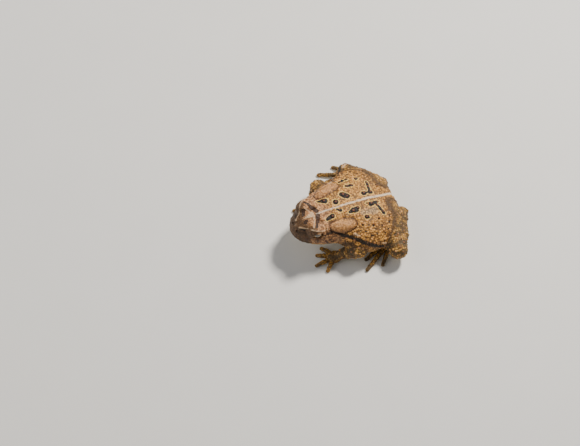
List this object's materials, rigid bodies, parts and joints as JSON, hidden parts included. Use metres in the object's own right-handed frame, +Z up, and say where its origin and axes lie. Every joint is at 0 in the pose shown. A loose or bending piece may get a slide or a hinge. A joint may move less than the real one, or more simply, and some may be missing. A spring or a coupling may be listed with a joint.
{
  "type": "american toad",
  "caption": "A toad sitting still with folded hind legs and spread fingers, a life-size display model of the whole animal.",
  "frame": {"origin": "middle of the toad's bounding box, on the floor it sits on", "axes": "+X forward to the snout, +Y to the toad's left, +Z up"},
  "size_m": [0.0654, 0.0684, 0.0285],
  "materials": {
    "skin": "dry warty olive-tan skin with dark spots, reddish wart tips and a pale line down the back",
    "eye": "wet eyeball with a gold-flecked iris and a dark level pupil"
  },
  "bodies": {
    "root": {"eye_left": "eye", "eye_right": "eye", "finger_1_left": "skin", "finger_1_right": "skin", "finger_2_left": "skin", "finger_2_right": "skin", "finger_3_left": "skin", "finger_3_right": "skin", "finger_4_left": "skin", "finger_4_right": "skin", "foot_left": "skin", "foot_right": "skin", "forearm_left": "skin", "forearm_right": "skin", "hand_left": "skin", "hand_right": "skin", "head": "skin", "lower_jaw": "skin", "parotoid_left": "skin", "parotoid_right": "skin", "shank_left": "skin", "shank_right": "skin", "thigh_left": "skin", "thigh_right": "skin", "toe_1_left": "skin", "toe_1_right": "skin", "toe_2_left": "skin", "toe_2_right": "skin", "toe_3_left": "skin", "toe_3_right": "skin", "toe_4_left": "skin", "toe_4_right": "skin", "toe_5_left": "skin", "toe_5_right": "skin", "torso": "skin", "upper_arm_left": "skin", "upper_arm_right": "skin"}
  },
  "joints": []
}
